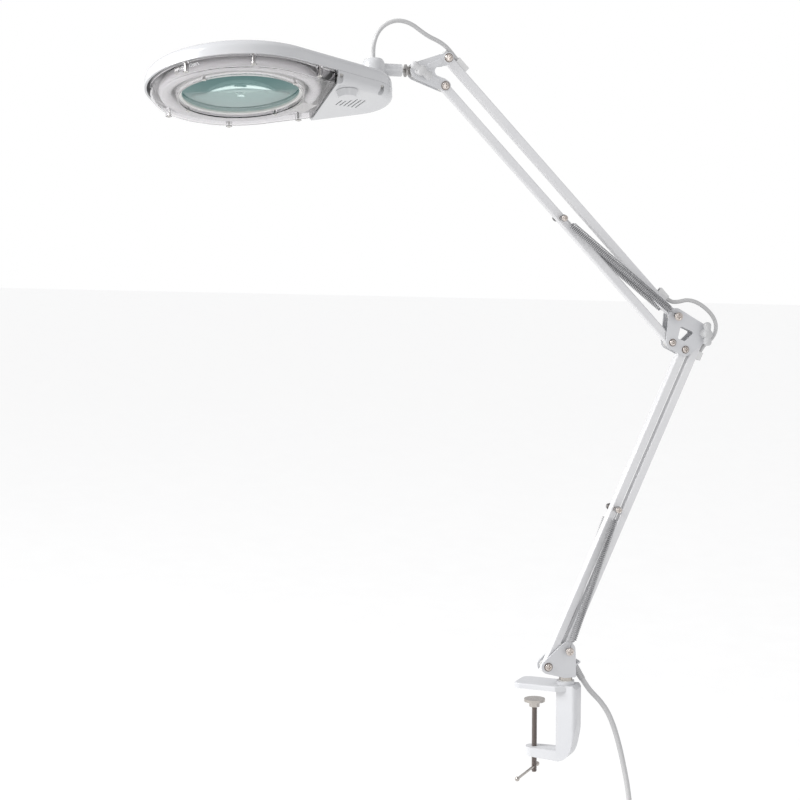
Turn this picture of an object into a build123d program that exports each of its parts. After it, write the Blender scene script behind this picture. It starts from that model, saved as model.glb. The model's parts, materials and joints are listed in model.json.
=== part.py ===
from build123d import *
import os
from math import atan2, cos, degrees, pi, radians, sin, tan

# Bench magnifying lamp: a screw clamp, a two-stage spring arm and an oval lamp head with a ring tube.
# Row frame, millimetres: +Z up. The origin is where the clamp's top jaw meets its spine, on the jaw's
# underside. +X points out of the bench, +Y runs along the bench's edge.

# ---------------------------------------------------------------- driving sizes
CORD_DIA = 6.0          # mains cord
LEAD_DIA = 4.6          # lead along the arm
RUN_FIT = 0.05          # radial play of a pin in its hole
GAP = 0.3               # gap between sliding faces

# clamp
JAW_REACH = 50.0
JAW_HALF = 19.0
JAW_THICK = 6.0
SPINE_DEPTH = 23.0
SPINE_HALF = 12.0
THROAT = 70.0           # clear height between the jaws
LOW_JAW = 10.0
SCREW_X = -30.0
SCREW_R = 3.0
SCREW_TOP, SCREW_END = -20.0, -100.5
PAD_TOP = -15.0
TEE_Z = -94.0
TEE_R = 1.5
TEE_NEAR, TEE_FAR = -56.0, 10.5
POST_X, POST_R = 7.0, 4.0
BOSS_TOP = 10.0

# arm, drawn in its own upright plane: x away from the head, y to the back, z up
SWING = 39.5            # how far the arm's plane is swung from the clamp's X axis
LINK = 390.0            # pivot to pivot of every arm tube
TUBE = 9.5
TUBE_WALL = 1.2
TUBE_END = 7.0          # tube past its pivot
LOW_ANGLE = 65.5
UP_ANGLE = 133.6
ANCHOR = 193.5          # spring bolt along its tube
LOW_FRONT = (-23.7, 28.3)
LOW_OFFSET = (22.84, 17.81)
ELBOW_STEP = (-15.67, 8.31)
UP_OFFSET = (3.73, 29.8)
PLATE_IN, PLATE_OUT = 6.5, 8.0
BOLT_R = 2.5
HOOK_Y = 12.4           # spring planes, each side of the arm
SPRING_R = 4.25
SPRING_WIRE = 1.2

# head, drawn in the lens ring's own frame: x to the front, y to the near side, z up
HUB = (-176.0, 689.2)
NECK = 48.5             # tilt pivot to dome axis
TILT, ROLL = 1.6, 16.9
DOME_BACK = 146.0       # dome axis behind the lens
NECK_UP = 27.3          # neck axis above the parting line
RING_R, TAIL_R, TAIL_BACK = 99.5, 41.5, 122.0
TOP_H = 17.0
DOME_BASE = TOP_H - NECK_UP + 0.2       # foot of the dome in the neck's frame
SKIN = 2.2
COVER_INSET, COVER_DEPTH = 5.5, 11.0
COVER_BACK = -89.0
TAIL_DEPTH = 12.6
LENS_R, LENS_CURVE, LENS_EDGE = 63.5, 348.0, 3.0
LENS_SEAT = -4.5
LENS_LIFT = 0.45        # the curved face stands this far off the lip at the rim
LIP_R = 61.5
WELL_IN, WELL_OUT = 64.3, 66.2
LAMP_R, LAMP_TUBE_R, LAMP_Z = 78.0, 7.4, -1.3
ROOF_Z, ROOF_T = LAMP_Z + 8.5, 1.5      # reflector above the lamp
KNOB_AT = (-105.0, 37.5)
LID_AXIS = (-103.0, 22.0)


# ---------------------------------------------------------------- small helpers
def along(angle):
    return (cos(radians(angle)), sin(radians(angle)))


def step(point, direction, length):
    return (point[0] + direction[0] * length, point[1] + direction[1] * length)


def plus(a, b):
    return (a[0] + b[0], a[1] + b[1])


def disc(point, radius):
    return Pos(*point) * Circle(radius)


def hull(*discs):
    edges = []
    for shape in discs:
        edges.extend(shape.edges())
    return make_hull(edges)


def upright(sketch, y_front, y_back):
    """A plate in the arm's plane from a sketch of (x, z)."""
    return Pos(0, y_back, 0) * (Plane.XZ * extrude(sketch, y_back - y_front))


def cross_pin(point, radius, y_front, y_back):
    middle = (y_front + y_back) / 2
    return Pos(point[0], middle, point[1]) * Rot(90, 0, 0) * Cylinder(radius, y_back - y_front)


def cross_ring(point, r_in, r_out, y_front, y_back):
    return cross_pin(point, r_out, y_front, y_back) - cross_pin(point, r_in, y_front - 1, y_back + 1)


def post(x, y, radius, z_low, z_high):
    return Pos(x, y, (z_low + z_high) / 2) * Cylinder(radius, z_high - z_low)


def ring(x, y, r_in, r_out, z_low, z_high):
    return post(x, y, r_out, z_low, z_high) - post(x, y, r_in, z_low - 1, z_high + 1)


def save(name, shape):
    solids = shape.solids()
    if len(solids) > 1:
        shape = Compound(children=list(solids))
    else:
        shape = solids[0]
    shape.label = name
    export_step(shape, "parts/" + name + ".step")
    print(name, len(solids), "solids", round(sum(s.volume for s in solids)), "mm3")


def bend_radii(points):
    """The largest even bends: 0.45 of the shorter run over the tangent of half the turn."""
    radii = []
    for before, here, after in zip(points, points[1:], points[2:]):
        run_in, run_out = here - before, after - here
        half_turn = radians(run_in.get_angle(run_out)) / 2
        radii.append(0.45 * min(run_in.length, run_out.length) / tan(half_turn))
    return radii


def flexible(name, points, diameter, place=None):
    """A cord's tube: straight runs joined by tangent arcs."""
    points = [Vector(*point) for point in points]
    if place is not None:
        points = [(place * Pos(*point)).position for point in points]
    radii = bend_radii(points)
    path = FilletPolyline(*points, radius=radii)
    section = Plane(origin=path @ 0, z_dir=path % 0) * Circle(diameter / 2)
    tube = sweep(section, path=path)
    ratio = tube.volume / (pi * diameter ** 2 / 4 * path.length)
    print(name, "length", round(path.length, 1), "volume over section x length", round(ratio, 4),
          "radii", [round(radius, 1) for radius in radii])
    return tube


# ---------------------------------------------------------------- frames
ARM = Pos(POST_X, 0, 0) * Rot(0, 0, SWING)
low_dir, up_dir = along(LOW_ANGLE), along(UP_ANGLE)
P1 = LOW_FRONT
P2 = plus(P1, LOW_OFFSET)
C = step(P1, low_dir, LINK)
D = step(P2, low_dir, LINK)
B = plus(C, ELBOW_STEP)
A = plus(B, UP_OFFSET)
E1 = step(B, up_dir, LINK)
E2 = step(A, up_dir, LINK)
LOW_ANCHOR = step(P1, low_dir, ANCHOR)
UP_ANCHOR = step(B, up_dir, ANCHOR)

head_x = Vector(-cos(radians(TILT)), 0, sin(radians(TILT)))
side_level = Vector(0, -1, 0)
up_level = head_x.cross(side_level)
head_z = up_level * cos(radians(ROLL)) - side_level * sin(radians(ROLL))
dome_centre = Vector(HUB[0], 0, HUB[1]) + head_x * NECK
# the neck frame: x to the front along the neck, origin on the dome's axis
NECK_FRAME = ARM * Plane(origin=dome_centre, x_dir=head_x, z_dir=head_z).location
HEAD = NECK_FRAME * Pos(DOME_BACK, 0, -NECK_UP)


# ---------------------------------------------------------------- clamp
def clamp_frame():
    outline = Polyline((-14, 0), (-14, JAW_THICK), (SPINE_DEPTH - 4, JAW_THICK),
                       (SPINE_DEPTH, JAW_THICK - 4), (SPINE_DEPTH, -36))
    back = Spline((SPINE_DEPTH, -36), (19.5, -58), (8, -80), tangents=((0, -1), (-0.9, -0.45)))
    low = Polyline((8, -80), (3, -THROAT - LOW_JAW - 2), (SCREW_X - 12, -THROAT - LOW_JAW),
                   (SCREW_X - 12, -THROAT), (0, -THROAT), (0, 0), (-14, 0))
    side = make_face(outline + back + low)
    body = upright(side, -2 * SPINE_HALF, 2 * SPINE_HALF)
    corner = disc((SPINE_DEPTH - 5, SPINE_HALF - 5), 5)
    plan = hull(disc((SCREW_X, 0), 10), corner, mirror(corner, Plane.XZ),
                disc((0, SPINE_HALF - 0.5), 0.5), disc((0, 0.5 - SPINE_HALF), 0.5))
    body = body & Pos(0, 0, -100) * extrude(plan, 120)
    tip = disc((9 - JAW_REACH, JAW_HALF - 9), 9)
    root = disc((0, JAW_HALF - 3), 3)
    spine = disc((SPINE_DEPTH - 12, SPINE_HALF - 3), 3)
    halves = [shape for near in (tip, root, spine) for shape in (near, mirror(near, Plane.XZ))]
    jaw_plan = hull(*halves)
    jaw = extrude(jaw_plan, JAW_THICK)
    jaw = fillet(jaw.faces().sort_by(Axis.Z)[-1].edges(), 1.6)
    body += jaw
    body += post(POST_X, 0, 10, JAW_THICK - 1, BOSS_TOP)
    body -= post(POST_X, 0, POST_R + 1.0, -26, BOSS_TOP + 1)
    body -= post(SCREW_X, 0, SCREW_R + RUN_FIT, -THROAT - LOW_JAW - 5, -THROAT + 1)
    return body


def swivel_bush():
    sleeve = ring(POST_X, 0, POST_R + RUN_FIT, POST_R + 1.0, -26, BOSS_TOP)
    return sleeve + ring(POST_X, 0, POST_R + RUN_FIT, 8, BOSS_TOP, BOSS_TOP + 0.8)


def clamp_pad():
    pad = post(SCREW_X, 0, 12, PAD_TOP - 3, PAD_TOP) + post(SCREW_X, 0, 6, PAD_TOP - 9, PAD_TOP - 3)
    return pad - post(SCREW_X, 0, SCREW_R + RUN_FIT, PAD_TOP - 10, SCREW_TOP + GAP)


def clamp_screw():
    shaft = post(SCREW_X, 0, SCREW_R, SCREW_END, SCREW_TOP)
    shaft = chamfer(shaft.edges().sort_by(Axis.Z)[0], 0.6)
    return shaft - Pos(SCREW_X, 0, TEE_Z) * Rot(90, 0, 0) * Cylinder(TEE_R + RUN_FIT, 10)


def tee_bar():
    """Sliding bar with a ball swaged on each end."""
    bar = cross_pin((SCREW_X, TEE_Z), TEE_R, TEE_NEAR, TEE_FAR)
    for y in (TEE_NEAR, TEE_FAR):
        bar += Pos(SCREW_X, y, TEE_Z) * Sphere(2.7)
    return bar


# ---------------------------------------------------------------- shared arm pieces
def arm_tube(start, direction, anchor=0.0):
    """Square tube between two pivots, with its cross holes."""
    inner = TUBE - 2 * TUBE_WALL
    section = RectangleRounded(TUBE, TUBE, 1.5) - RectangleRounded(inner, inner, 0.6)
    tube = Pos(0, 0, -TUBE_END + 2) * extrude(section, LINK + 2 * TUBE_END - 4)
    holes = [0.0, LINK] + ([anchor] if anchor else [])
    for height in holes:
        tube -= Pos(0, 0, height) * Rot(90, 0, 0) * Cylinder(BOLT_R + RUN_FIT, TUBE + 2)
    lean = degrees(atan2(direction[0], direction[1]))
    return Pos(start[0], 0, start[1]) * Rot(0, lean, 0) * tube


def tube_plugs(start, direction):
    """Moulded stoppers in both ends of a tube."""
    plugs = Part()
    inner = TUBE - 2 * TUBE_WALL
    for height, way in ((-TUBE_END + 2, -1), (LINK + TUBE_END - 2, 1)):
        cap = Pos(0, 0, way) * extrude(RectangleRounded(TUBE, TUBE, 1.5), 1.0, both=True)
        stem = Pos(0, 0, -way) * extrude(RectangleRounded(inner, inner, 1.0), 1.0, both=True)
        plugs += Pos(0, 0, height) * (cap + stem)
    lean = degrees(atan2(direction[0], direction[1]))
    return Pos(start[0], 0, start[1]) * Rot(0, lean, 0) * plugs


def pivot_bolt(point, head_r=4.2, half=PLATE_OUT):
    """Bolt through both plates with its head in front and its nut behind."""
    bolt = cross_pin(point, BOLT_R, -half, half + 3.5)
    bolt += cross_pin(point, head_r, -half - 2.4, -half)
    nut = upright(Pos(*point) * RegularPolygon(4.4, 6), half, half + 3)
    return bolt + nut


def spring_bolt(point, head_r, half=16.9):
    """Long bolt that carries a spring on each side."""
    bolt = cross_pin(point, BOLT_R, -half, half)
    for y in (-half - 1.6, half):
        bolt += cross_pin(point, head_r, y, y + 1.6)
    return bolt


def washers(*points):
    """Nylon spacers between the tubes and the plates."""
    group = Part()
    for point in points:
        for side in (1, -1):
            low, high = sorted((side * (TUBE / 2 + 0.1), side * PLATE_IN))
            group += cross_ring(point, BOLT_R, 5.2, low, high)
    return group


def wing_knob(point, turn, y_face):
    """Two-winged clamping knob in front of a plate."""
    hub = cross_pin(point, 5.5, y_face - 13, y_face)
    wings = upright(Pos(*point) * Rot(0, 0, turn) * SlotOverall(27, 7), y_face - 13, y_face - 4)
    knob = hub + wings
    return knob - cross_pin(point, BOLT_R + RUN_FIT, y_face - 9, y_face + 1)


def knob_bolt(point, y_face):
    """Bolt of a wing knob, headed behind the back plate."""
    bolt = cross_pin(point, BOLT_R, y_face - 8.5, PLATE_OUT)
    return bolt + cross_pin(point, 4.6, PLATE_OUT, PLATE_OUT + 2.4)


def spring_hooks(eye, direction, y_list):
    """Wire eye round a spring bolt and its shank, one on each side."""
    group = Part()
    eye_r = BOLT_R + 1.1
    lean = degrees(atan2(direction[0], direction[1]))
    for y in y_list:
        shank = Pos(0, 0, eye_r + 4.5) * Cylinder(SPRING_WIRE / 2, 9)
        hook = Pos(0, 0, 0) * Rot(90, 0, 0) * Torus(eye_r, SPRING_WIRE / 2) + shank
        group += Pos(eye[0], y, eye[1]) * Rot(0, lean, 0) * hook
    return group


def spring_coils(eye, direction, start, end):
    """Outer shape of the pair of coils."""
    group = Part()
    lean = degrees(atan2(direction[0], direction[1]))
    for y in (-HOOK_Y, HOOK_Y):
        tube = Cylinder(SPRING_R, end - start) - Cylinder(SPRING_R - SPRING_WIRE, end - start)
        group += Pos(eye[0], y, eye[1]) * Rot(0, lean, 0) * Pos(0, 0, (start + end) / 2) * tube
    return group


def toward(a, b):
    length = ((b[0] - a[0]) ** 2 + (b[1] - a[1]) ** 2) ** 0.5
    return ((b[0] - a[0]) / length, (b[1] - a[1]) / length), length


# ---------------------------------------------------------------- base bracket
GLAND_AT = (9.5, 28.0)
GLAND_LEAN = 32.0       # gland axis, degrees from straight down
GLAND_Y = 1.7


def gland_frame():
    return Pos(GLAND_AT[0], GLAND_Y, GLAND_AT[1]) * Rot(0, 180 - GLAND_LEAN, 0)


def base_bracket():
    foot = (disc((7.8, 16.5), 2), disc((-4, 16.5), 2))
    outline = hull(disc(P1, 8), disc(P2, 9.5), *foot, disc((7.3, 40), 1.7))
    plates = upright(outline, -PLATE_OUT, -PLATE_IN) + upright(outline, PLATE_IN, PLATE_OUT)
    floor = Pos(2, 0, 15.4) * Box(14, 2 * PLATE_IN, 1.8)
    web = gland_frame() * (Pos(0, -GLAND_Y, 0) * Box(14, 2 * PLATE_IN, 1.6))
    bracket = plates + floor + web
    for point in (P1, P2):
        bracket -= cross_pin(point, BOLT_R, -10, 10)
    bracket -= post(0, 0, POST_R, 12, 20)
    return bracket - gland_frame() * Cylinder(3.6, 6)


def base_post():
    shaft = post(0, 0, POST_R, -25, 18)
    collar = post(0, 0, 7.5, BOSS_TOP + 0.9, 14.5)
    rivet = post(0, 0, 5.5, 16.3, 18)
    return shaft + collar + rivet


def cord_gland():
    """Moulded strain relief: head, groove in the web, and a tapered tail."""
    head = Pos(0, 0, -2.3) * Cylinder(4.7, 3.0)
    groove = Cylinder(3.6, 1.6)
    flange = Pos(0, 0, 1.8) * Cylinder(4.7, 2.0)
    tail = Pos(0, 0, 12.4) * Cone(4.3, 3.5, 19.2)
    return gland_frame() * (head + groove + flange + tail)


# ---------------------------------------------------------------- elbow and fork
def elbow_plate(y_front, y_back):
    outline = hull(disc(A, 9), disc(B, 8), disc(C, 7.6), disc(D, 9))
    window = hull(disc((133.2, 407.3), 1.8), disc((145.2, 401.9), 1.8), disc((137.0, 394.8), 1.8),
                  disc((130.6, 397.2), 1.8))
    plate = upright(outline - window, y_front, y_back)
    for point in (A, B, C, D):
        plate -= cross_pin(point, BOLT_R, y_front - 1, y_back + 1)
    return plate


SPACER = (144.5, 412.0)


def elbow_spacer():
    return cross_pin(SPACER, 3.0, -PLATE_IN, PLATE_IN)


def fork_plate(y_front, y_back):
    arms = hull(disc(HUB, 9.6), disc(E1, 6)) + hull(disc(HUB, 9.6), disc(E2, 6))
    notch = hull(disc((-153.4, 689.2), 5.2), disc((-141.0, 687.6), 7.8))
    plate = upright(arms - notch, y_front, y_back)
    for point in (HUB, E1, E2):
        plate -= cross_pin(point, BOLT_R, y_front - 1, y_back + 1)
    return plate


def fork_spacers():
    group = Part()
    for low, high in ((-PLATE_IN, -2.2), (2.2, PLATE_IN)):
        group += cross_ring(HUB, BOLT_R, 7, low, high)
    return group


# ---------------------------------------------------------------- tongue and neck (neck frame)
TUBE_R = 6.7
NECK_IN, NECK_OUT = -12.3, -30.5


def neck_rod(radius, x_from, x_to):
    return Pos((x_from + x_to) / 2, 0, 0) * Rot(0, 90, 0) * Cylinder(radius, abs(x_to - x_from))


def tongue():
    """Steel blade from the tilt pivot to the end plate that the neck turns on."""
    plate = neck_rod(6.8, -36.0, -34.5)
    blade = Pos(-(36 + NECK) / 2, 0, 0) * Box(NECK - 36, 4, 9)
    level = Rot(-ROLL, 0, 0)
    eye = Pos(-NECK, 0, 0) * Rot(90, 0, 0) * Cylinder(7.5, 4)
    blade = level * (blade + eye)
    hole = level * (Pos(-NECK, 0, 0) * Rot(90, 0, 0) * Cylinder(BOLT_R + RUN_FIT, 10))
    return NECK_FRAME * (plate + blade - hole - neck_rod(2.0, -37, -33))


def neck_screw():
    return NECK_FRAME * (neck_rod(2.0, -36.0, -24.0) + neck_rod(3.8, -28.2, -25.0))


def neck_tube():
    tube = neck_rod(TUBE_R, NECK_OUT, NECK_IN + 6) - neck_rod(TUBE_R - 1.4, NECK_OUT + 2, NECK_IN + 7)
    tube -= neck_rod(2.0 + RUN_FIT, NECK_OUT - 1, NECK_OUT + 3)
    return NECK_FRAME * (tube - post(0, 0, 12.5, -20, 20))


def dome():
    side = post(0, 0, 12.5, DOME_BASE, 2.5)
    cap = Pos(0, 0, 2.5) * (Sphere(12.5) & Pos(0, 0, 5) * Box(30, 30, 10))
    cap &= post(0, 0, 12.5, 0, 9.6)
    body = side + cap
    body -= post(0, 0, 10.6, DOME_BASE - 1, 1.5)
    body -= neck_rod(5.3, -20, 0)
    body -= post(0, 0, 3.4, 0, 12)
    return NECK_FRAME * body


def swivel_stud():
    """Stud that the head turns on, with its retaining ring under the shell."""
    stud = ring(0, 0, 3.4, 5.0, DOME_BASE - 6.7, -3.0) + ring(0, 0, 3.4, 10.4, DOME_BASE, DOME_BASE + 2.2)
    return NECK_FRAME * (stud + ring(0, 0, 5.0, 8.5, DOME_BASE - 4.7, DOME_BASE - 2.8))


def lead_grommet():
    sleeve = ring(0, 0, LEAD_DIA / 2, 3.4, 4.5, 10.5)
    return NECK_FRAME * (sleeve + ring(0, 0, LEAD_DIA / 2, 4.6, 9.7, 11.2))


# ---------------------------------------------------------------- head (ring frame)
def teardrop(inset=0.0):
    return hull(disc((0, 0), RING_R - inset), disc((-TAIL_BACK, 0), TAIL_R - inset))


def edge_loop(solid, z):
    return [edge for edge in solid.edges() if abs(edge.bounding_box().max.Z - z) < 1e-3
            and abs(edge.bounding_box().min.Z - z) < 1e-3]


def slab(inset, z_low, z_high, low_round=0.0, high_round=0.0):
    solid = Pos(0, 0, z_low) * extrude(teardrop(inset), z_high - z_low)
    if low_round:
        solid = fillet(edge_loop(solid, z_low), low_round)
    if high_round:
        solid = fillet(edge_loop(solid, z_high), high_round)
    return solid


def front_part(solid, x_cut):
    return solid & Pos(x_cut + 150, 0, 0) * Box(300, 300, 200)


def tail_part(solid, x_cut):
    return solid & Pos(x_cut - 150, 0, 0) * Box(300, 300, 200)


HOUSING_SCREWS = [(-92, 60.5), (-92, -60.5), (-143, 32.5), (-143, -32.5)]
COVER_SCREWS = [(69, 65), (6, 94.6), (-68, 70.4), (64, -69.8), (-6, -94.6), (-77, -65.6)]
LIP_SCREWS = [(66.9 * cos(radians(a)), 66.9 * sin(radians(a))) for a in (45, 135, 225, 315)]


def housing_top():
    shell = slab(0, 0, TOP_H, high_round=10) - slab(SKIN, -1, TOP_H - SKIN, high_round=7.8)
    shell += ring(0, 0, WELL_IN, WELL_OUT, 0, TOP_H - 1)
    shell -= post(0, 0, WELL_IN, -1, TOP_H + 1)
    bosses = Part()
    for x, y in HOUSING_SCREWS + COVER_SCREWS:
        bosses += post(x, y, 3.6, 0, TOP_H - 1)
    shell += bosses & slab(0.2, 0, TOP_H - 0.5, high_round=9.5)
    for x, y in HOUSING_SCREWS:
        shell -= post(x, y, 1.4, -1, 12)
    for x, y in COVER_SCREWS:
        shell -= post(x, y, 1.2, -1, 8)
    shell -= post(-DOME_BACK, 0, 5.0 + RUN_FIT, 5, TOP_H + 2)
    for y in (16, -16):
        ear = Pos(LID_AXIS[0], y, 0) * (Pos(0, 0, 18.5) * Box(12, 8, 6))
        ear += Pos(LID_AXIS[0], y, LID_AXIS[1]) * Rot(90, 0, 0) * Cylinder(6, 8)
        ear &= Pos(LID_AXIS[0], y, 26) * Box(20, 10, 20)
        shell += ear
    return shell - Pos(LID_AXIS[0], 0, LID_AXIS[1]) * Rot(90, 0, 0) * Cylinder(1.8, 60)


def housing_bottom():
    shell = slab(0.3, -TAIL_DEPTH, -0.1, low_round=7) - slab(SKIN, -TAIL_DEPTH + SKIN, 1, low_round=5)
    shell = tail_part(shell, COVER_BACK - 0.3)
    end_wall = slab(0.6, -TAIL_DEPTH + 0.2, -0.1, low_round=6.6)
    shell += end_wall & Pos(COVER_BACK - 1.4, 0, 0) * Box(2.2, 300, 200)
    bosses = Part()
    for x, y in HOUSING_SCREWS:
        bosses += post(x, y, 5, -TAIL_DEPTH, -0.1)
    shell += tail_part(bosses & slab(0.3, -TAIL_DEPTH, -0.1, low_round=7), COVER_BACK - 0.3)
    for x, y in HOUSING_SCREWS:
        shell -= post(x, y, 3.4, -TAIL_DEPTH - 1, -3.6)
        shell -= post(x, y, 1.8, -TAIL_DEPTH, 1)
    for row in range(6):
        shell -= Pos(-106 - 4.6 * row, 6 - row * 1.2, -TAIL_DEPTH) * Rot(0, 0, 12) * Box(1.6, 24, 8)
    return shell - post(KNOB_AT[0], KNOB_AT[1], 3.2, -20, 0)


def housing_fasteners():
    """Four screws of the tail shell and the pin of the lid's hinge."""
    group = Pos(LID_AXIS[0], 0, LID_AXIS[1]) * Rot(90, 0, 0) * Cylinder(1.8, 41)
    for x, y in HOUSING_SCREWS:
        group += post(x, y, 1.4, -3.6, 11.9) + post(x, y, 3.1, -5.6, -3.6)
    return group


def cover_body():
    trough = slab(COVER_INSET, -COVER_DEPTH, -0.1, low_round=6)
    hollow = slab(COVER_INSET + 1.8, -COVER_DEPTH + 1.8, 1, low_round=4.4)
    trough = front_part(trough, COVER_BACK)
    trough -= front_part(hollow, COVER_BACK + 1.8)
    trough -= post(0, 0, 64.8, -30, 5)
    trough += ring(0, 0, 64.8, WELL_OUT + 0.2, -COVER_DEPTH, LENS_SEAT - 2.1)
    for x, y in LIP_SCREWS:
        trough += post(x, y, 2.4, -COVER_DEPTH, LENS_SEAT - 2.1) - post(0, 0, 64.8, -30, 5)
        trough -= post(x, y, 1.2, -30, 0)
    for x, y in COVER_SCREWS:
        trough += post(x, y, 3.4, -COVER_DEPTH + 1, -0.1)
        trough -= post(x, y, 1.5, -30, 0)
    return trough


def cover_screws():
    group = Part()
    for x, y in COVER_SCREWS:
        group += post(x, y, 1.45, -COVER_DEPTH + 1, -0.1) + post(x, y, 1.15, -0.1, 7.9)
        group += post(x, y, 2.9, -COVER_DEPTH - 0.4, -COVER_DEPTH + 1)
    for x, y in LIP_SCREWS:
        group += post(x, y, 1.2, -COVER_DEPTH, LENS_SEAT - 2.2)
        group += post(x, y, 2.1, -COVER_DEPTH - 1.0, -COVER_DEPTH)
    return group


def reflector():
    top = ROOF_Z + ROOF_T
    tray = slab(COVER_INSET + 0.2, 0.1, top, high_round=3)
    tray -= slab(COVER_INSET + 1.7, -1, ROOF_Z, high_round=1.5)
    tray = front_part(tray, COVER_BACK + 2.2) - post(0, 0, WELL_OUT + 0.1, -5, top + 1)
    for x, y in COVER_SCREWS + HOUSING_SCREWS:
        tray -= post(x, y, 3.9, -1, top + 1)
    tray += ring(0, 0, WELL_OUT + 0.1, WELL_OUT + 1.4, LENS_SEAT, ROOF_Z + 0.5)
    return tray + ring(0, 0, WELL_IN, WELL_OUT + 1.4, LENS_SEAT, -0.1)


def lens_rings():
    """The lip the lens rests on and the ring that holds it down."""
    lip = ring(0, 0, LIP_R, WELL_OUT + 0.2, LENS_SEAT - 2, LENS_SEAT)
    low = LENS_SEAT + LENS_LIFT + LENS_EDGE
    return lip + ring(0, 0, 62.6, WELL_IN, low + 0.2, low + 2.6)


def lens():
    """Biconvex glass with a ground edge."""
    sag = LENS_CURVE - (LENS_CURVE ** 2 - LENS_R ** 2) ** 0.5
    middle = LENS_SEAT + LENS_LIFT + LENS_EDGE / 2
    reach = LENS_EDGE / 2 + sag
    low = Pos(0, 0, middle - reach + LENS_CURVE) * Sphere(LENS_CURVE)
    high = Pos(0, 0, middle + reach - LENS_CURVE) * Sphere(LENS_CURVE)
    return post(0, 0, LENS_R, -30, 30) & low & high


HOLDER_TURN = 200.0


def lamp_holder():
    block = Pos(LAMP_R, 0, LAMP_Z) * Box(17.4, 27, 15)
    return Rot(0, 0, HOLDER_TURN) * (block - Pos(LAMP_R, 0, LAMP_Z + 6) * Box(12, 20, 5))


def lamp_tube():
    torus = Pos(0, 0, LAMP_Z) * Torus(LAMP_R, LAMP_TUBE_R)
    return torus - Rot(0, 0, HOLDER_TURN) * (Pos(LAMP_R, 0, LAMP_Z) * Box(30, 27, 30))


def lamp_clips():
    group = Part()
    for turn in (30, 150, 270):
        band = Pos(LAMP_R, 0, LAMP_Z) * Rot(90, 0, 0) * Cylinder(LAMP_TUBE_R + 0.6, 6)
        hole = Pos(LAMP_R, 0, LAMP_Z) * Rot(90, 0, 0) * Cylinder(LAMP_TUBE_R + 0.12, 8)
        stem = Pos(LAMP_R, 0, LAMP_Z + 7.6) * Box(5, 6, 1.6)
        clip = (band + stem) - hole
        group += Rot(0, 0, turn) * (clip - Pos(LAMP_R, 0, LAMP_Z - 9) * Box(20, 10, 10))
    return group


def ballast_board():
    board = Pos(-117, -14, -8) * Box(42, 40, 1.6)
    parts = Pos(-112, -24, -4.2) * Box(14, 14, 6)
    parts += Pos(-128, -8, -2.2) * Cylinder(5, 10)
    parts += Pos(-108, -4, -4.7) * Box(8, 10, 5)
    return board + parts


def switch_body():
    x, y = KNOB_AT
    return post(x, y, 7.5, SKIN - TAIL_DEPTH, -4) + post(x, y, 3.0, -TAIL_DEPTH, SKIN - TAIL_DEPTH)


def switch_knob():
    return Pos(KNOB_AT[0], KNOB_AT[1], -TAIL_DEPTH - 3.9) * Cone(9.2, 11.6, 7.0)


def lens_lid():
    """Dust lid over the lens, with the arm and barrel of its hinge."""
    lid = post(0, 0, 70, TOP_H + 0.5, TOP_H + 2.6)
    lid = fillet(edge_loop(lid, TOP_H + 2.6), 1.5)
    arm = Pos(-84, 0, TOP_H + 1.6) * Box(40, 22, 2.2)
    barrel = Pos(LID_AXIS[0], 0, LID_AXIS[1]) * Rot(90, 0, 0) * Cylinder(4.6, 22)
    grip = Pos(69, 0, TOP_H + 1.6) * Box(10, 26, 2.2)
    lid = lid + arm + barrel + grip
    return lid - Pos(LID_AXIS[0], 0, LID_AXIS[1]) * Rot(90, 0, 0) * Cylinder(1.8 + RUN_FIT, 60)


# ---------------------------------------------------------------- leads and mains cord
low_out = (low_dir[1], -low_dir[0])      # away from the head, square to the lower tubes
up_out = (up_dir[1], -up_dir[0])         # upward, square to the upper tubes
SKIN_OFF = TUBE / 2 + LEAD_DIA / 2 + 0.2


def on_tube(pivot, direction, outward, distance):
    return step(step(pivot, direction, distance), outward, SKIN_OFF)


def flat(points):
    return [(x, 0, z) for x, z in points]


HEAD_LEAD = flat([(-224.2, 719), (-219.8, 730), (-212, 738), (-202, 742.3), (-191.5, 742.3), (-181, 738.5),
                  (-172, 732), (-162.5, 726), (-151.5, 721.5), (-141.5, 714.5)])
ELBOW_LEAD = flat([(131.5, 436.6), (142.8, 439.3), (155, 436.2), (165.6, 429.4), (174.6, 420.6),
                   (179.4, 410.5), (178.2, 400.5), (172.2, 392.4)])


def head_lead():
    start = (NECK_FRAME * Pos(0, 0, 4)).position
    above = (NECK_FRAME * Pos(0, 0, 17)).position
    rest = [on_tube(E2, up_dir, up_out, distance) for distance in (-7, -22)]
    route = [(ARM * Pos(*point)).position for point in HEAD_LEAD + flat(rest)]
    return flexible("head_lead", [start, above] + route, LEAD_DIA)


def elbow_lead():
    first = [on_tube(A, up_dir, up_out, distance) for distance in (26, 15)]
    last = [on_tube(D, low_dir, low_out, distance) for distance in (-14, -26)]
    return flexible("elbow_lead", flat(first) + ELBOW_LEAD + flat(last), LEAD_DIA, ARM)


def lead_cap(pivot, direction, outward, near, far):
    """Channel that holds the lead to its tube, just past the loop."""
    lean = degrees(atan2(direction[0], direction[1]))
    length = abs(far - near)
    middle = step(pivot, direction, (near + far) / 2)
    side = 1 if outward[0] * cos(radians(lean)) - outward[1] * sin(radians(lean)) > 0 else -1
    x = side * (TUBE / 2 + 0.05 + 2.9)
    block = Pos(x, 0, 0) * Box(5.8, 6.8, length)
    groove = Pos(side * SKIN_OFF, 0, 0) * Cylinder(LEAD_DIA / 2 + 0.05, length + 2)
    mouth = Pos(side * (TUBE / 2 + 0.6), 0, 0) * Box(3.2, 2 * (LEAD_DIA / 2 + 0.05), length + 2)
    return Pos(middle[0], 0, middle[1]) * Rot(0, lean, 0) * (block - groove - mouth)


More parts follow.
